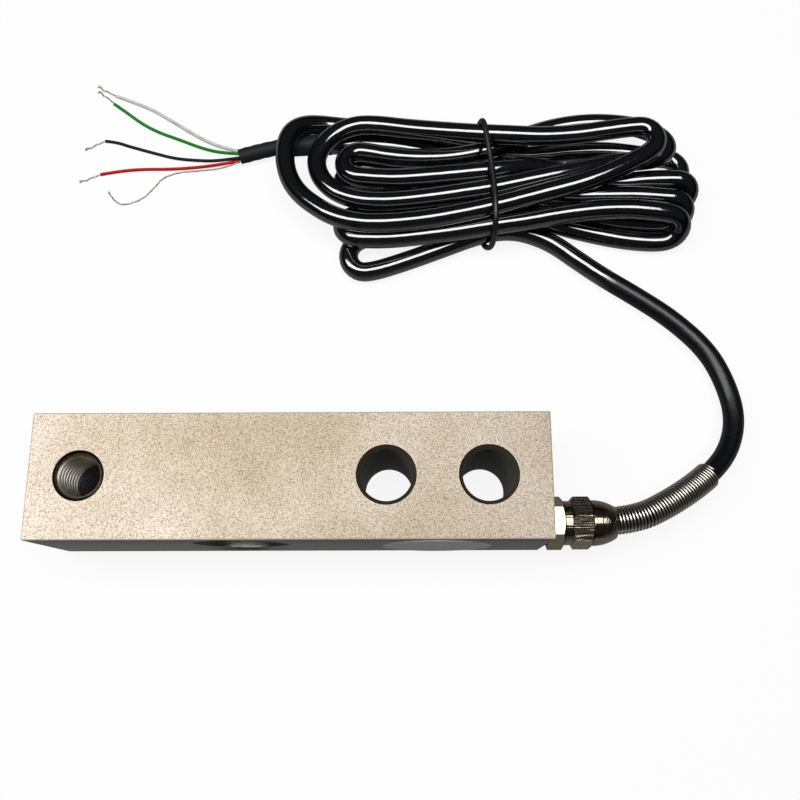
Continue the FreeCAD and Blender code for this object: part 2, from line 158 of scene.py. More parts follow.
# the points of a NURBS spline through given control points in mm, read back in metres
def readRoute(points, steps=12):
    curve = bpy.data.curves.new("route", "CURVE")
    curve.dimensions = "3D"
    spline = curve.splines.new("NURBS")
    spline.points.add(len(points) - 1)
    spline.points.foreach_set("co", np.column_stack([np.array(points) * mm, np.ones(len(points))]).ravel())
    spline.order_u = 3
    spline.use_endpoint_u = True
    spline.resolution_u = steps
    item = bpy.data.objects.new("route", curve)
    bpy.context.scene.collection.objects.link(item)
    bpy.context.view_layer.update()
    mesh = bpy.data.meshes.new_from_object(item.evaluated_get(bpy.context.evaluated_depsgraph_get()))
    line = np.empty(len(mesh.vertices) * 3)
    mesh.vertices.foreach_get("co", line)
    bpy.data.meshes.remove(mesh)
    bpy.data.objects.remove(item)
    return line.reshape(-1, 3)


def lineLength(line):
    return np.linalg.norm(np.diff(line, axis=0), axis=1).sum()


# points at even distances along a line, from one distance to another
def evenLine(line, start, end, count):
    along = np.concatenate([[0], np.cumsum(np.linalg.norm(np.diff(line, axis=0), axis=1))])
    wanted = np.linspace(start, end, count)
    return np.column_stack([np.interp(wanted, along, line[:, axis]) for axis in range(3)])


# two unit directions across a line, the first one as near to the given upward direction as it can be
def crossAxes(line, upward):
    ahead = np.gradient(line, axis=0)
    ahead /= np.linalg.norm(ahead, axis=1)[:, None]
    first = np.array(upward) - ahead * (ahead @ np.array(upward))[:, None]
    first /= np.linalg.norm(first, axis=1)[:, None]
    return first, np.cross(ahead, first)


# mesh from a grid of points: rows run along the shape, columns turn right-handed about that direction
def addSurface(name, grid, closeRows=False, caps=True):
    rows, columns = grid.shape[:2]
    index = np.arange(rows * columns).reshape(rows, columns)
    nextColumn = np.roll(index, -1, axis=1)
    if closeRows:
        nextRow, nextBoth = np.roll(index, -1, axis=0), np.roll(nextColumn, -1, axis=0)
    else:
        nextRow, nextBoth = index[1:], nextColumn[1:]
        index, nextColumn = index[:-1], nextColumn[:-1]
    faces = np.stack([index, nextColumn, nextBoth, nextRow], axis=-1).reshape(-1, 4).tolist()
    if caps and not closeRows:
        faces.append(np.arange(columns)[::-1].tolist())
        faces.append(((rows - 1) * columns + np.arange(columns)).tolist())
    mesh = bpy.data.meshes.new(name)
    mesh.from_pydata(grid.reshape(-1, 3).tolist(), [], faces)
    mesh.update()
    mesh.polygons.foreach_set("use_smooth", np.ones(len(mesh.polygons), dtype=bool))
    item = bpy.data.objects.new(name, mesh)
    bpy.context.scene.collection.objects.link(item)
    return item


def finishPiece(item, material, slotName, *stoodFor):
    item.data.materials.append(material)
    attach(item, "root")
    if stoodFor:
        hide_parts(*stoodFor)
    return item


# section of a round tube carried along a line: centre + r (cos a first + sin a second)
def tubeGrid(line, radii, sides, upward=(0, 0, 1)):
    first, second = crossAxes(line, upward)
    angle = np.linspace(0, 2 * np.pi, sides, endpoint=False)
    ring = np.cos(angle)[None, :, None] * first[:, None] + np.sin(angle)[None, :, None] * second[:, None]
    radii = np.broadcast_to(np.asarray(radii, dtype=float), len(line))
    return line[:, None] + ring * radii[:, None, None]


# a surface whose tone drifts between two shades in patches of the given size, with a fine unevenness
def mottled(name, dark, light, grainMm, roughness, metallic=0.0, bumpMm=0.0, shine=0.5):
    material, tree, shader = newMaterial(name)
    place = addPlace(tree)
    grain = addNoise(tree, place, 1000 / grainMm, 3.0)
    tone = addRamp(tree, grain, [(0.3, linear(dark)), (0.7, linear(light))])
    setInputs(tree, shader, {
        "Base Color": tone["Color"], "Normal": addBump(tree, grain, 0.5, bumpMm * mm), "Roughness": roughness,
        "Metallic": metallic, "Specular IOR Level": shine,
    })
    return material


# glossy black PVC jacket: smooth extruded skin that mirrors lamps as long lines, a little wavy over the
# cores; the bent lead is rubbed dull, and each value goes over to the clean skin in the last 5 mm
def blackJacket():
    material, tree, shader = newMaterial("glossy black PVC jacket")
    place = addPlace(tree)
    wave = addNoise(tree, place, 90.0, 3.0)       # 11 mm
    scuff = addNoise(tree, place, 900.0, 4.0)     # 1 mm
    scuffed = addRange(tree, scuff, 0.45, 0.75, 0.1, 0.18)
    fromBend = addDistance(tree, place, np.array(cable["rubbed"]) * mm)
    end = cable["rubbedReach"] * mm
    coat, shine, dull = [addRange(tree, fromBend, end - 5 * mm, end, rubbed, clean)
                         for rubbed, clean in [(0.08, 1.0), (0.35, 0.9), (0.25, 0.0)]]
    setInputs(tree, shader, {
        "Base Color": linear("#08090d"), "Roughness": addMath(tree, "ADD", dull, scuffed),
        "Normal": addBump(tree, wave, 0.45, mm), "Specular IOR Level": shine, "Coat Weight": coat,
        "Coat Roughness": 0.06, "Coat IOR": 1.8,
    })
    return material


# the cable: one line from the gland, through the hank's runs and folds, to its stripped end; points in mm
cable = {
    "radius": 2.85,
    "length": 1.57,        # metres, end to end as the photograph shows it
    "rows": 1500,
    "sides": 22,
    "lead": [
        (35.5, -10.3, 15.9), (50.0, -10.3, 15.9), (62.6, -4.5, 13.4), (74.6, 3.5, 9.0),
        (81.6, 11.0, 5.6), (84.9, 20.6, 3.5), (83.3, 30.8, 2.85), (78.8, 40.8, 2.85), (69.5, 50.2, 2.85),
        (60.0, 57.0, 2.85), (50.5, 63.2, 2.85), (42.5, 69.2, 2.85),
    ],
    "rubbed": (85.0, 20.0, 4.0),       # middle of the bent lead, where the skin is rubbed dull
    "rubbedReach": 56.0,
    "waist": 17.0,         # x of the tie; tight folds lie to both sides of it
    # runs between the tight folds, in order along the cable; wide loops are part of a run
    "runs": [
        [(37.0, 73.6, 2.85), (31.5, 76.4, 3.1), (25.0, 78.0, 3.8), (18.5, 77.5, 4.5),
         (12.0, 76.0, 3.8), (4.5, 73.4, 3.0), (-4.5, 70.0, 2.85), (-11.0, 67.7, 2.85), (-17.0, 65.8, 2.85)],
        [(-17.0, 76.9, 2.85), (-8.0, 78.8, 2.85), (4.0, 81.0, 3.6), (18.0, 83.3, 4.5),
         (30.0, 82.3, 4.8), (39.0, 79.5, 3.2), (48.0, 77.2, 2.85), (57.0, 75.2, 2.9), (65.5, 74.3, 3.0)],
        [(65.0, 80.2, 11.8), (55.5, 80.8, 12.4), (45.5, 80.2, 12.5), (36.0, 79.1, 12.0),
         (26.5, 77.6, 11.2), (17.5, 76.7, 10.5), (6.0, 75.3, 9.2), (-5.0, 74.3, 8.6), (-12.0, 73.7, 8.3),
         (-18.5, 73.7, 8.2)],
        [(-18.5, 84.0, 2.9), (-11.0, 84.2, 2.85), (-4.0, 84.9, 3.0), (6.0, 86.8, 3.9),
         (18.0, 88.6, 4.5), (31.0, 87.4, 3.8), (44.0, 83.3, 3.2), (56.0, 81.1, 2.9), (64.0, 80.3, 2.85),
         (69.0, 80.1, 2.85)],
        [(68.0, 85.9, 9.0), (60.5, 86.4, 9.4), (51.0, 86.2, 9.6), (41.0, 86.2, 9.6),
         (30.0, 88.2, 8.6), (18.0, 91.0, 9.5), (6.0, 90.8, 7.4), (-5.0, 90.0, 5.6), (-14.0, 89.8, 4.0),
         (-20.5, 90.1, 3.1)],
        [(-20.5, 99.2, 2.85), (-14.0, 98.4, 2.85), (-6.0, 97.8, 2.85), (6.0, 96.3, 3.8),
         (18.0, 93.6, 4.5), (31.0, 92.6, 3.6), (44.0, 88.7, 2.85), (56.0, 86.8, 2.85), (65.0, 86.2, 2.85),
         (71.0, 86.3, 2.85)],
        [(70.0, 91.9, 8.6), (63.0, 91.8, 8.4), (55.5, 91.2, 7.8), (46.5, 92.8, 7.0),
         (37.0, 95.2, 8.5), (27.0, 94.8, 11.9), (16.0, 92.0, 14.3), (6.0, 91.3, 13.7), (-4.0, 90.7, 13.2),
         (-10.5, 90.6, 12.6), (-18.0, 91.6, 11.7)],
        [(-18.5, 101.5, 8.6), (-11.5, 100.0, 8.6), (-4.0, 99.4, 8.6), (5.0, 99.3, 9.0),
         (13.0, 100.4, 9.5), (20.0, 102.7, 9.3), (26.5, 106.2, 7.6), (33.5, 109.8, 6.0),
         (41.0, 111.6, 6.0), (48.5, 112.4, 6.0), (56.0, 112.1, 6.0), (62.0, 110.9, 6.3),
         (67.0, 108.7, 6.7), (70.2, 106.0, 7.1), (71.0, 103.0, 7.6), (69.6, 100.1, 8.1),
         (65.6, 98.5, 8.6), (58.5, 97.5, 9.2), (49.5, 95.3, 11.3), (41.0, 92.5, 12.7), (30.0, 89.8, 13.6),
         (18.5, 86.9, 14.0), (8.0, 85.6, 13.4), (-2.0, 84.4, 12.8),
         (-12.0, 83.6, 12.3), (-19.5, 84.3, 11.3), (-25.0, 86.0, 10.6), (-29.3, 88.6, 10.0),
         (-32.4, 92.0, 9.5), (-34.0, 95.6, 9.2), (-34.4, 99.0, 9.1), (-33.2, 102.8, 9.1),
         (-30.5, 106.4, 9.0), (-26.7, 109.1, 8.9), (-21.8, 110.7, 8.9), (-15.5, 110.3, 9.2),
         (-8.0, 108.8, 9.9), (2.0, 106.2, 12.5), (12.0, 104.1, 14.5),
         (22.0, 103.0, 15.4), (33.0, 103.2, 14.0), (43.5, 104.6, 12.9), (52.0, 105.8, 13.0),
         (59.0, 106.8, 13.0)],
        [(58.0, 94.4, 14.6), (49.5, 90.1, 14.9), (41.0, 87.0, 15.0), (30.0, 84.3, 14.5),
         (19.0, 81.4, 13.9), (8.0, 79.1, 13.5), (-2.0, 77.4, 13.2), (-12.0, 76.5, 12.9),
         (-21.0, 76.7, 12.5), (-28.5, 79.1, 11.7), (-34.3, 83.1, 10.7), (-39.0, 87.4, 9.8),
         (-42.2, 92.4, 9.1), (-43.7, 97.6, 9.0), (-43.9, 102.5, 9.0), (-43.3, 106.2, 9.0),
         (-41.6, 109.6, 8.4), (-38.5, 112.2, 6.7), (-34.0, 113.4, 4.8),
         (-29.0, 113.6, 3.3), (-21.0, 113.0, 2.85), (-11.0, 112.0, 2.85), (-1.0, 110.3, 2.9),
         (8.0, 107.6, 3.5), (18.5, 104.6, 4.4), (25.0, 103.2, 2.9), (33.0, 103.4, 2.85),
         (42.0, 104.4, 2.85), (53.0, 104.8, 2.85), (63.0, 103.4, 2.85), (69.0, 102.1, 2.85)],
        [(69.0, 93.3, 2.85), (60.0, 93.4, 2.85), (46.0, 95.1, 2.85), (32.0, 97.7, 3.6),
         (18.0, 99.0, 4.6), (6.0, 102.4, 3.3), (-6.0, 106.0, 2.85), (-17.0, 107.3, 2.85),
         (-27.0, 107.4, 2.85), (-36.5, 107.6, 2.9), (-41.5, 107.4, 2.95), (-44.5, 107.2, 3.0)],
    ],
    # the tight fold after each run but the last: x of its middle, y and z where it begins and ends
    "folds": [
        (-19.5, 65.3, 2.85, 75.9, 2.85), (68.5, 74.6, 3.4, 79.7, 11.0),
        (-21.0, 74.0, 8.2, 83.8, 3.4), (71.0, 80.2, 2.9, 85.8, 8.7), (-22.5, 90.5, 2.9, 99.2, 2.85),
        (73.0, 86.7, 2.9, 91.8, 8.5), (-21.0, 92.4, 11.2, 101.9, 8.7), (61.4, 107.0, 13.0, 97.6, 14.1),
        (71.4, 101.8, 2.85, 93.4, 2.85),
    ],
}


# a fold is a half circle: its four points are corners of the octagon round that circle, on the side away
# from the tie
def foldPoints(x, startY, startZ, endY, endZ):
    half = np.array([0, endY - startY, endZ - startZ]) / 2
    ahead = np.array([np.copysign(np.linalg.norm(half), x - cable["waist"]), 0, 0])
    middle = np.array([x, startY, startZ]) + half
    short = np.tan(np.pi / 8)
    return [middle + outward * ahead + across * half
            for outward, across in [(short, -1), (1, -short), (1, short), (short, 1)]]


cableRoute = cable["lead"] + cable["runs"][0]
for fold, run in zip(cable["folds"], cable["runs"][1:]):
    cableRoute += foldPoints(*fold) + run
cableLine = readRoute(cableRoute)
cableLine = evenLine(cableLine, 0, lineLength(cableLine), cable["rows"])
cablePiece = addSurface("cable", tubeGrid(cableLine, cable["radius"] * mm, cable["sides"]))
finishPiece(cablePiece, blackJacket(), "cable_jacket", "cable_lead", "cable_hank")
print("cable laid, length", round(lineLength(cableLine), 3))

# sleeve over the jacket's end: radius eases from the jacket to the bundle of cores, with faint shrink folds
sleeve = {
    "route": [(-30.5, 107.5, 3.15), (-41.8, 107.3, 3.15), (-50.0, 106.3, 2.95), (-58.7, 103.95, 2.45)],
    "wideRadius": 3.15,
    "endRadius": 2.3,
    "taper": (0.48, 0.6),  # shares of the length where it begins and ends, behind the jacket
    "foldDepth": 0.05,
    "foldCount": 9,
    "sides": 40,
    "rows": 90,
}


def addSleeve():
    line = readRoute(sleeve["route"])
    line = evenLine(line, 0, lineLength(line), sleeve["rows"])
    share = np.linspace(0, 1, sleeve["rows"])
    begin, end = sleeve["taper"]
    ease = np.clip((share - begin) / (end - begin), 0, 1)
    ease = ease * ease * (3 - 2 * ease)
    radii = sleeve["wideRadius"] + (sleeve["endRadius"] - sleeve["wideRadius"]) * ease
    radii += sleeve["foldDepth"] * ease * np.sin(share * sleeve["foldCount"] * 2 * np.pi)
    return addSurface("cable_end_sleeve", tubeGrid(line, radii * mm, sleeve["sides"]))


shrunk = mottled("black heat-shrink sleeve", "#131417", "#1e1f23", 0.6, 0.6, 0.0, 0.1, 0.25)
sleevePiece = finishPiece(addSleeve(), shrunk, "shrink_sleeve", "end_sleeve")
print("sleeve made")

# the four cores, their twisted tips and the bare shield wire; points in mm, as in the CAD
wires = {
    "coreRadius": 0.5,
    "coreLength": 0.047,   # metres
    "coreRows": 90,
    "coreSides": 14,
    "tipRadius": 0.23,
    "tipRows": 60,
    "strandRadius": 0.11,
    "strandCount": 6,
    "strandSides": 8,
    "twistPitch": 2.6,
    "wobble": 0.24,        # sideways, grows along the free wire
    "wobblePitch": 6.1,
    "fray": 0.25,
    "frayFrom": 0.7,       # share of the length
    "drainRadius": 0.2,
    "drainStrandRadius": 0.16,
    "drainWobble": 0.1,
    "drainStrands": 3,
    "drainRows": 320,
    "drainLength": 0.048,
    "cores": {
        "white": [(-57.5, 105.2, 2.6), (-64.3, 107.2, 2.2), (-71.2, 110.9, 1.2), (-79.0, 116.2, 0.7),
                  (-87.0, 121.5, 0.55), (-93.5, 124.4, 0.55), (-99.3, 126.7, 0.55)],
        "green": [(-57.5, 104.4, 3.4), (-64.0, 105.2, 2.5), (-70.6, 107.5, 1.3), (-78.2, 111.0, 0.7),
                  (-85.0, 113.7, 0.55), (-90.3, 116.7, 0.55), (-95.5, 120.8, 0.55), (-99.7, 123.9, 0.55)],
        "black": [(-57.5, 103.9, 2.3), (-65.5, 103.1, 1.4), (-73.0, 103.8, 0.7), (-79.5, 104.6, 0.55),
                  (-86.3, 106.6, 0.55), (-93.6, 108.8, 0.55), (-98.0, 110.4, 0.55), (-101.4, 110.8, 0.55)],
        "red": [(-57.5, 103.5, 1.3), (-65.5, 102.1, 0.9), (-73.5, 101.3, 0.6), (-81.0, 100.9, 0.55),
                (-89.0, 101.0, 0.55), (-96.1, 100.4, 0.55), (-102.0, 99.3, 0.55)],
    },
    "tips": {
        "white": [(-99.3, 126.7, 0.55), (-102.5, 128.2, 0.5), (-105.4, 130.4, 0.4)],
        "green": [(-99.7, 123.9, 0.55), (-102.4, 126.6, 0.5), (-105.2, 128.6, 0.4)],
        "black": [(-101.4, 110.8, 0.55), (-104.5, 109.4, 0.5), (-107.6, 107.9, 0.3)],
        "red": [(-102.0, 99.3, 0.55), (-105.1, 97.9, 0.5), (-108.5, 96.9, 0.3)],
    },
    "drain": [(-57.5, 102.9, 2.1), (-63.5, 101.1, 0.8), (-70.5, 100.5, 0.3), (-77.5, 100.1, 0.25),
              (-82.0, 98.6, 0.25), (-84.6, 95.9, 0.25), (-86.8, 92.6, 0.25), (-90.6, 89.9, 0.25),
              (-94.8, 89.0, 0.25), (-97.6, 90.7, 0.25), (-99.2, 93.7, 0.25)],
    "colours": {
        # painted shade: the white core is greyed to the tone of its shaded side
        "white": ("#b9b9b6", "#d0d0cd"),
        "green": ("#007a0e", "#058c1c"),
        "black": ("#121214", "#1b1b1e"),
        "red": ("#b80509", "#d00f13"),
    },
}


# twisted strands, cut unevenly: strand k is at centre + q (cos b first + sin b second),
# b = 2 pi (s / pitch + k / count), and the centre sways sideways by w (sin a + sin 2.3 a),
# a = 2 pi s / wobble pitch
def addTwist(name, line, radius, strandRadius, count, fray, wobble):
    first, second = crossAxes(line, (0, 0, 1))
    along = np.linspace(0, lineLength(line), len(line))
    sway = 2 * np.pi * along / (wires["wobblePitch"] * mm)
    sway = (np.sin(sway) + np.sin(2.3 * sway)) * np.minimum(along / along[-1], 0.5) * wobble * mm
    centre = line + sway[:, None] * second
    spread = np.clip((along / along[-1] - wires["frayFrom"]) / (1 - wires["frayFrom"]), 0, 1) ** 2
    reach = (radius - wires["strandRadius"] + fray * spread) * mm
    strands = []
    for k in range(count):
        angle = 2 * np.pi * (along / (wires["twistPitch"] * mm) + k / count)
        strand = centre + reach[:, None] * (np.cos(angle)[:, None] * first + np.sin(angle)[:, None] * second)
        strand[:, 2] = np.maximum(strand[:, 2], strandRadius * mm)
        strand = strand[:len(line) - k * 7 % 5]
        strands.append(addSurface("strand", tubeGrid(strand, strandRadius * mm, wires["strandSides"])))
    with bpy.context.temp_override(active_object=strands[0], selected_editable_objects=strands):
        bpy.ops.object.join()
    strands[0].name = strands[0].data.name = name
    return strands[0]


tinned = mottled("tinned copper wire", "#8f8a82", "#c4bfb7", 1.2, 0.32, 1.0)
insulation = {colour: mottled(colour + " PVC insulation", dark, light, 2.0, 0.55, 0.0, 0.05, 0.15)
              for colour, (dark, light) in wires["colours"].items()}
for colour, points in wires["cores"].items():
    line = readRoute(points)
    line = evenLine(line, 0, lineLength(line), wires["coreRows"])
    core = addSurface("core_wire_" + colour, tubeGrid(line, wires["coreRadius"] * mm, wires["coreSides"]))
    finishPiece(core, insulation[colour], colour + "_insulation", "core_" + colour)
    tipLine = readRoute(wires["tips"][colour])
    tipLine = evenLine(tipLine, 0, lineLength(tipLine), wires["tipRows"])
    tip = addTwist("core_tip_" + colour, tipLine, wires["tipRadius"], wires["strandRadius"],
                   wires["strandCount"], wires["fray"], wires["wobble"])
    finishPiece(tip, tinned, "tinned_copper", "conductor_" + colour)
line = readRoute(wires["drain"])
line = evenLine(line, 0, lineLength(line), wires["drainRows"])
drainPiece = addTwist("shield_wire", line, wires["drainRadius"], wires["drainStrandRadius"],
                      wires["drainStrands"], 0.0, wires["drainWobble"])
finishPiece(drainPiece, tinned, "tinned_copper", "shield_drain_wire")

# tie: a cord round the waist of the hank, its end hooked back under; points in mm, closed on the floor side
tie = {
    "radius": 0.83,
    "route": [(15.2, 77.0, 0.9), (15.4, 74.2, 1.6), (17.2, 72.6, 3.2), (17.8, 72.4, 8.0),
              (17.8, 73.2, 15.2), (17.9, 78.0, 17.9), (17.6, 86.0, 18.0), (17.0, 93.0, 17.8),
              (16.0, 99.5, 18.5), (15.0, 106.2, 18.8), (14.2, 108.1, 13.5), (14.2, 108.7, 7.0),
              (14.4, 108.6, 1.2), (15.0, 103.0, 0.9), (15.8, 90.0, 0.9), (16.6, 79.0, 0.9)],
    "sides": 16,
    "rows": 220,
}
tieLine = readRoute(tie["route"])
tieLine = evenLine(tieLine, 0, lineLength(tieLine), tie["rows"])
tiePiece = addSurface("hank_tie", tubeGrid(tieLine, tie["radius"] * mm, tie["sides"], (1, 0, 0)))
tieCord = mottled("black coated tie cord", "#0c0c0e", "#18181b", 0.8, 0.38)
finishPiece(tiePiece, tieCord, "tie_cord", "hank_band")
print("tie made")

# spring: wire centre at cable line + R (cos t first + sin t second), wire section turned about that helix
spring = {
    "radius": 3.7,
    "wire": 0.64,          # as seen between the dark gaps of its turns
    "pitch": 0.859,
    "start": 5.6,          # mm along the cable from its end in the gland
    "turns": 43,
    "stepsPerTurn": 30,
    "sides": 10,
}


def addSpring():
    length = spring["turns"] * spring["pitch"]
    count = spring["turns"] * spring["stepsPerTurn"]
    line = evenLine(cableLine, spring["start"] * mm, (spring["start"] + length) * mm, count)
    first, second = crossAxes(line, (0, 0, 1))
    turnAngle = np.linspace(0, 2 * np.pi * spring["turns"], count)
    outward = np.cos(turnAngle)[:, None] * first + np.sin(turnAngle)[:, None] * second
    helix = line + outward * (spring["radius"] - spring["wire"] / 2) * mm
    ahead = np.gradient(helix, axis=0)
    ahead /= np.linalg.norm(ahead, axis=1)[:, None]
    side = np.cross(ahead, outward)
    angle = np.linspace(0, 2 * np.pi, spring["sides"], endpoint=False)
    ring = np.cos(angle)[None, :, None] * outward[:, None] + np.sin(angle)[None, :, None] * side[:, None]
    item = addSurface("relief_spring", helix[:, None] + ring * spring["wire"] / 2 * mm)
    corners = np.empty(len(item.data.loops), dtype=np.int32)
    item.data.loops.foreach_get("vertex_index", corners)
    row, column = np.divmod(corners, spring["sides"])
    places = np.column_stack([0.5 + np.cos(angle)[column] / 2, row / count])     # U is 1 on the crest
    item.data.uv_layers.new(name="roundTheWire").data.foreach_set("uv", places.ravel())
    return item


# drawn spring wire: its own bright tone along the crest, with painted shade darkening the flanks where
# neighbouring turns meet
def springWireWithPaintedShade():
    material, tree, shader = newMaterial("bright drawn spring wire")
    around = addAxes(tree, addPlace(tree, "UV"))["X"]
    # painted shade: dark on the flanks of the wire, full tone only on its outer crest
    tone = addRamp(tree, around, [(0.5, linear("#181613")), (0.92, linear("#dcd6c9"))])
    setInputs(tree, shader, {"Base Color": tone["Color"], "Metallic": 1.0, "Roughness": 0.28})
    return material


springPiece = finishPiece(addSpring(), springWireWithPaintedShade(), "spring_wire", "strain_relief_spring")
print("spring wound")

# thread in the load hole: radius follows a metric thread profile of (z / pitch - angle / 2 pi), and an outer
# wall closes it
thread = {
    "x": -88.9,
    "pitch": 1.75,
    "rootFlat": 0.125,     # shares of the pitch
    "flank": 0.3125,
    "majorRadius": 6.0,
    "minorRadius": 5.05,
    "wallRadius": 6.01,    # just inside the bar, where the thread piece is closed
    "chamfer": 0.35,
    "height": 31.8,
    "paintedShadowTop": 17.6,       # mm, below this height the bore is painted dark as shadow
    "rows": 300,
    "columns": 96,
}


def addThread():
    low, high = thread["chamfer"], thread["height"] - thread["chamfer"]
    z = np.linspace(low, high, thread["rows"])[:, None]
    angle = np.linspace(2 * np.pi, 0, thread["columns"], endpoint=False)[None, :]
    phase = (z / thread["pitch"] - angle / (2 * np.pi)) % 1
    rise = np.clip((0.5 - np.abs(phase - 0.5) - thread["rootFlat"] / 2) / thread["flank"], 0, 1)
    radius = thread["majorRadius"] - (thread["majorRadius"] - thread["minorRadius"]) * rise
    fromEnd = np.minimum(z - low, high - z)
    radius = np.maximum(radius, thread["majorRadius"] - fromEnd)         # 45 degree lead-in
    inner = np.stack([radius * np.cos(angle), radius * np.sin(angle), z + 0 * angle], axis=-1)
    outer = inner[[-1, 0]].copy()
    outer[..., 0] = thread["wallRadius"] * np.cos(angle)
    outer[..., 1] = thread["wallRadius"] * np.sin(angle)
    grid = np.concatenate([inner, outer]) + np.array([thread["x"], 0, 0])
    return addSurface("load_thread", grid * mm, closeRows=True)


# cut steel thread: random worn tone, paler towards the mouth with a tan band at it; painted shade in the
# roots, painted brightening on the crests, and a painted shadow deeper down
def cutThread():
    material, tree, shader = newMaterial("cut steel thread")
    place = addPlace(tree)
    axes = addAxes(tree, place)
    depth = addRange(tree, axes["Z"], 0.0, thread["height"] * mm)
    edge = thread["paintedShadowTop"] / thread["height"]
    # painted shadow over the deeper bore, then a tone that pales towards the mouth
    tone = addRamp(tree, depth, [(edge - 0.01, linear("#434241")), (edge + 0.01, linear("#bdb7ab")),
                                 (0.96, linear("#ddd6c9")), (0.97, linear("#cbb795"))])
    worn = addRange(tree, addNoise(tree, place, 900.0, 3.0), 0.0, 1.0, 0.85, 1.1)     # 1 mm
    above = addVector(tree, "MULTIPLY", place, (1, 1, 0))
    fromAxis = addDistance(tree, above, (thread["x"] * mm, 0, 0))
    # painted shade in the thread roots and painted brightening on its crests
    paintedRootShade = addRange(tree, fromAxis, thread["minorRadius"] * mm, thread["majorRadius"] * mm, 1.3, 0.05)
    base = addScaled(tree, tone["Color"], addMath(tree, "MULTIPLY", worn, paintedRootShade))
    setInputs(tree, shader, {"Base Color": base, "Metallic": 1.0, "Roughness": 0.36})
    return material


finishPiece(addThread(), cutThread(), "blasted_nickel")
print("thread cut")

# label plate: a thin bare disc on the front side face, a profile turned about the Y axis
label = {
    "middle": (0.0, -15.9, 15.9),
    "profile": [(14.0, 0.0), (14.0, 0.22), (13.92, 0.3), (13.8, 0.3)],      # radius, height over the face
    "sides": 96,
}


def addLabel():
    angle = np.linspace(0, 2 * np.pi, label["sides"], endpoint=False)[None, :]
    radius, height = np.array(label["profile"]).T[:, :, None]
    grid = np.stack([radius * np.cos(angle), 0 * angle - height, radius * np.sin(angle)], axis=-1)
    return addSurface("label_plate", (grid + np.array(label["middle"])) * mm)


satin = mottled("bare satin label plate", "#e2e2e3", "#ececed", 1.2, 0.75, 1.0)
finishPiece(addLabel(), satin, "label_plate", "label_disc")
print("label placed")


# the bar: faces fine blasted above and below, plain grey sides with painted shade, bore walls painted darker
# with shade, brown chamfers edged by a painted shadow line, and bright turned pockets
bar = {
    "middle": (-36.6, 0.0, 15.9),
    "halfSize": (65.0, 15.9, 15.9),
    "edgeBreak": 0.3,
    # x, start and width of each hole's ring: painted shade at the load hole, a brown chamfer then a painted
    # shadow line at the others
    "rings": [(-88.9, 2.85, 3.5), (-12.7, 6.5, 1.0), (12.7, 6.5, 1.0)],
    "pocket": (-50.8, 0.0, 15.9),
    "pocketRim": 13.9,
}


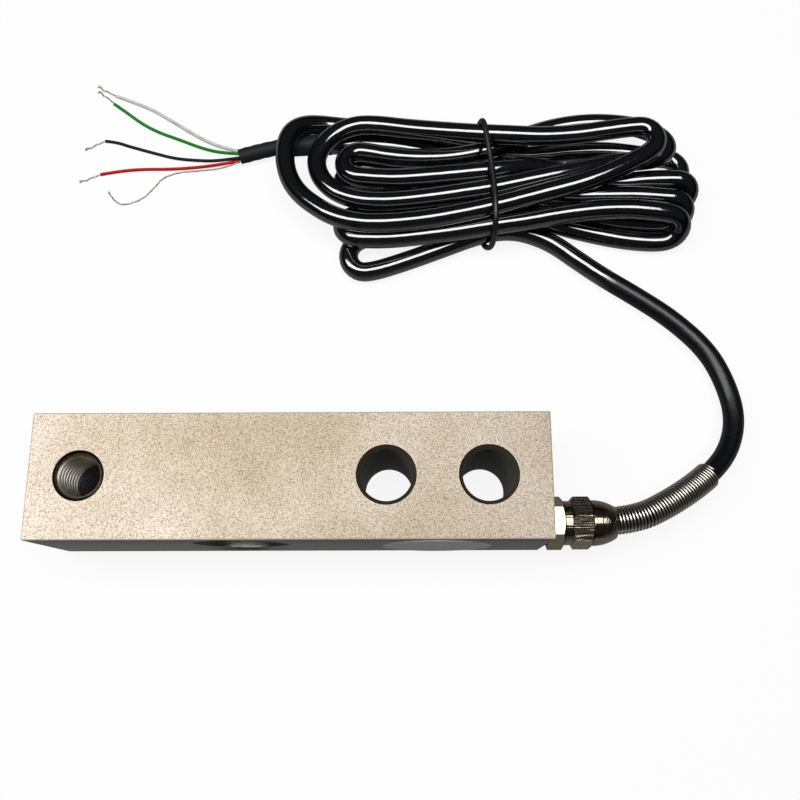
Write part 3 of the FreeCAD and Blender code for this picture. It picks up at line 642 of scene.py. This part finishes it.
def blastedNickel():
    material, tree, shader = newMaterial("blasted nickel plate")
    place = addPlace(tree)
    axes = addAxes(tree, place)
    inMm = addScaled(tree, place, 1000.0)
    grain = addNoise(tree, place, 2400.0, 2.0)    # 0.4 mm
    pits = addNoise(tree, place, 2900.0, 0.0)     # 0.35 mm
    cloud = addNoise(tree, place, 24.0, 3.0)      # 40 mm
    # painted shade: faces and sides grow darker towards the gland end, standing in for the lamp's falloff
    paintedLightFalloff = addRange(tree, axes["X"], -95 * mm, 28 * mm, 1.0, 0.82)
    # blasted tone of the upper and lower faces
    blast = addRamp(tree, grain, [(0.3, linear("#c9bbaa")), (0.45, linear("#e8dbcc")),
                                  (0.58, linear("#f2e7da")), (0.72, linear("#fcf4ea"))])
    patch = addRamp(tree, cloud, [(0.35, linear("#e3e0d2")), (0.62, linear("#ffffff"))])
    face = addMix(tree, 1.0, blast["Color"], patch["Color"], "MULTIPLY")
    pitted = addRange(tree, pits, 0.6, 0.74, 1.0, 0.58)
    faceTone = addScaled(tree, face, addMath(tree, "MULTIPLY", pitted, paintedLightFalloff))
    # share of the way through the broken edge towards each pair of faces, 0 well inside and 1 on the face
    spread = addVector(tree, "ABSOLUTE", addVector(tree, "SUBTRACT", inMm, bar["middle"]))
    outward = addAxes(tree, spread)
    nearFace = [addRange(tree, outward[axis], half - bar["edgeBreak"], half)
                for axis, half in enumerate(bar["halfSize"])]
    onFace = addRange(tree, nearFace[2], 0.15, 0.65)
    # plain side tone with painted shade, darker towards the upper edge
    upward = addRange(tree, axes["Z"], 0.0, (bar["middle"][2] + bar["halfSize"][2]) * mm)
    side = addRamp(tree, upward, [(0.0, linear("#d6d4d0")), (0.6, linear("#c6c4bf")),
                                  (1.0, linear("#a9a7a3"))])
    fine = addRange(tree, grain, 0.3, 0.7, 0.86, 1.1)
    sideTone = addScaled(tree, side["Color"], addMath(tree, "MULTIPLY", fine, paintedLightFalloff))
    body = addMix(tree, onFace, sideTone, faceTone)
    # painted highlight: a light matt line on the broken edges round the upper and lower faces
    atEdge = addMath(tree, "MAXIMUM", nearFace[0], nearFace[1])
    line = addRange(tree, addMath(tree, "MULTIPLY", atEdge, onFace), 0.0, 0.3)
    withEdgeHighlight = addMix(tree, line, body, linear("#e6dcca"))
    # turned pocket wall and its rim
    sideways = addVector(tree, "MULTIPLY", inMm, (1, 0, 1))
    inPocket = addMath(tree, "LESS_THAN", addDistance(tree, sideways, bar["pocket"]), bar["pocketRim"])
    turned = addMix(tree, inPocket, withEdgeHighlight, linear("#a9a7a2"))
    # share of each hole's ring of brown chamfer and painted shade, 1 at its outer edge
    above = addVector(tree, "MULTIPLY", inMm, (1, 1, 0))
    nearest = None
    for x, start, width in bar["rings"]:
        reach = addDistance(tree, above, (x, 0, 0))
        share = addMath(tree, "MULTIPLY_ADD", reach, 1 / width, -start / width)
        nearest = addMath(tree, "MINIMUM", nearest, share) if nearest else share
    ring = addRange(tree, nearest, -0.5, 1.5)
    # painted shade: darker grey bore wall, brown chamfer, then a dark painted shadow line round each hole's
    # outer edge
    bore = addRamp(tree, ring, [(0.26, linear("#7a7977")), (0.29, linear("#4f453a")),
                                (0.60, linear("#6a5c4b")), (0.68, linear("#1c1815")),
                                (0.755, linear("#1c1815")), (0.765, (1, 1, 1, 0))])
    setInputs(tree, shader, {
        "Base Color": addMix(tree, bore["Alpha"], turned, bore["Color"]),
        "Metallic": addRange(tree, line, 0.0, 1.0, 1.0, 0.25),
        "Roughness": addRange(tree, inPocket, 0.0, 1.0, 0.72, 0.3),
        "Normal": addBump(tree, grain, 0.5, 0.2 * mm),
    })
    return material


# dark polished nickel: drawn lines along the flats up to a given x, then fine turned rings round the nose
def polishedNickel(name, linedTo, lineDepth, ringDepth, flatRoughness):
    material, tree, shader = newMaterial(name)
    place = addPlace(tree)
    axes = addAxes(tree, place)
    lines = addNoise(tree, addVector(tree, "MULTIPLY", place, (90, 1700, 1700)), 1.0, 3.0)     # 11 by 0.6 mm
    rings = addNoise(tree, addVector(tree, "MULTIPLY", place, (3500, 60, 60)), 1.0, 2.0)       # 0.3 by 17 mm
    tone = addRamp(tree, lines, [(0.3, linear("#978c78")), (0.7, linear("#ada28d"))])
    onNose = addRange(tree, axes["X"], linedTo * mm, (linedTo + 0.1) * mm)
    lined = addBump(tree, lines, addRange(tree, onNose, 0.0, 1.0, lineDepth, 0.0), 0.4 * mm)
    setInputs(tree, shader, {
        "Base Color": tone["Color"], "Metallic": 1.0,
        "Roughness": addRange(tree, onNose, 0.0, 1.0, flatRoughness, 0.14),
        "Normal": addBump(tree, rings, addMath(tree, "MULTIPLY", onNose, ringDepth), 0.3 * mm, Normal=lined),
    })
    return material


blasted = blastedNickel()
cover = mottled("pressed nickel-plated steel", "#8d8a84", "#a5a29b", 2.0, 0.25, 1.0)
rubber = mottled("nitrile rubber", "#141414", "#1c1c1c", 0.8, 0.6)
film = mottled("polyimide gauge film", "#a8681c", "#c07e2a", 1.0, 0.35)
sealant = mottled("soft silicone sealant", "#d5d5cf", "#e2e2dd", 1.5, 0.4)
nodeLooks = {
    "beam_body": blasted, "pocket_cover_front": cover, "pocket_cover_rear": cover, "strain_gauge_front": film,
    "strain_gauge_rear": film, "potting_front": sealant, "potting_rear": sealant,
    "terminal_board": mottled("green glass laminate", "#1d5a30", "#25683a", 0.6, 0.45),
    "trim_resistors": mottled("black chip ceramic", "#191919", "#242424", 0.5, 0.5),
    "gauge_leads": tinned, "bridge_leads": tinned,
    "gland_body": polishedNickel("polished nickel", 28.4, 0.04, 0.03, 0.14),
    "gland_nut": polishedNickel("polished nickel, drawn", 40.05, 0.4, 0.6, 0.2),
    "gland_o_ring": rubber, "gland_seal": rubber,
    "clamp_ring": mottled("natural nylon", "#d6d2c6", "#e2dfd5", 1.5, 0.4),
}
nodeLooks.update({"lead_" + colour: insulation[colour] for colour in insulation})
for name, look in nodeLooks.items():
    nodes[name].data.materials.clear()
    nodes[name].data.materials.append(look)
print("materials set")

# stage: pale floor with a low rounded wall far off, one profile turned about the upright axis
stage = {
    "floorRadius": 1.6,
    "bend": 0.5,
    "wallHeight": 0.9,
    "tone": "#5a5a5a",
    "lift": 0.88,           # added to the lit floor where the camera sees it
    "mirrored": 0.15,       # share of that in reflections and through clear things, near the object
    "mirroredFrom": 0.25,   # metres from the object where that share begins to fade
    "mirroredTo": 0.7,      # and where it ends
    "columns": 96,
}


def addStage():
    turn = np.linspace(0, np.pi / 2, 12)
    wall = stage["floorRadius"] + stage["bend"]
    across = np.concatenate([[0.001], stage["floorRadius"] + stage["bend"] * np.sin(turn), [wall]])
    upward = np.concatenate([[0], stage["bend"] * (1 - np.cos(turn)), [stage["wallHeight"]]])
    angle = np.linspace(2 * np.pi, 0, stage["columns"], endpoint=False)
    grid = np.stack([across[:, None] * np.cos(angle), across[:, None] * np.sin(angle),
                     upward[:, None] + 0 * angle], axis=-1)
    item = addSurface("studio_floor", grid, caps=False)
    material, tree, shader = newMaterial("pale studio paper")
    path = addNode(tree, "ShaderNodeLightPath").outputs
    mirrored = addMath(tree, "MAXIMUM", path["Is Glossy Ray"], path["Is Transmission Ray"])
    reach = addDistance(tree, addPlace(tree), (0, 0, 0))
    near = addRange(tree, reach, stage["mirroredFrom"], stage["mirroredTo"], stage["mirrored"], 0.0)
    seen = addMath(tree, "MULTIPLY_ADD", mirrored, near, path["Is Camera Ray"])
    setInputs(tree, shader, {
        "Emission Strength": addMath(tree, "MULTIPLY", seen, stage["lift"]), "Emission Color": (1, 1, 1, 1),
        "Base Color": linear(stage["tone"]), "Roughness": 0.9, "Specular IOR Level": 0.1,
    })
    item.data.materials.append(material)


addStage()

# lamps: one long overhead strip and a dark room
lamps = {
    "strip": {"place": (-0.22, 0.07, 0.80), "size": (1.3, 0.34), "watts": 9.4},
    "roomStrength": 0.03,
}


def addLamp(name, place, size, watts):
    data = bpy.data.lights.new(name, "AREA")
    data.shape = "RECTANGLE"
    data.size, data.size_y = size
    data.energy = watts
    item = bpy.data.objects.new(name, data)
    item.location = place
    bpy.context.scene.collection.objects.link(item)


addLamp("overhead_strip", lamps["strip"]["place"], lamps["strip"]["size"], lamps["strip"]["watts"])
world = bpy.data.worlds.new("dark studio room")
bpy.context.scene.world = world
world.use_nodes = True
room = next(n for n in world.node_tree.nodes if n.type == "BACKGROUND")
room.inputs["Color"].default_value = (1, 1, 1, 1)
room.inputs["Strength"].default_value = lamps["roomStrength"]
bpy.context.scene.view_settings.view_transform = "Standard"
print("stage and lamps set")
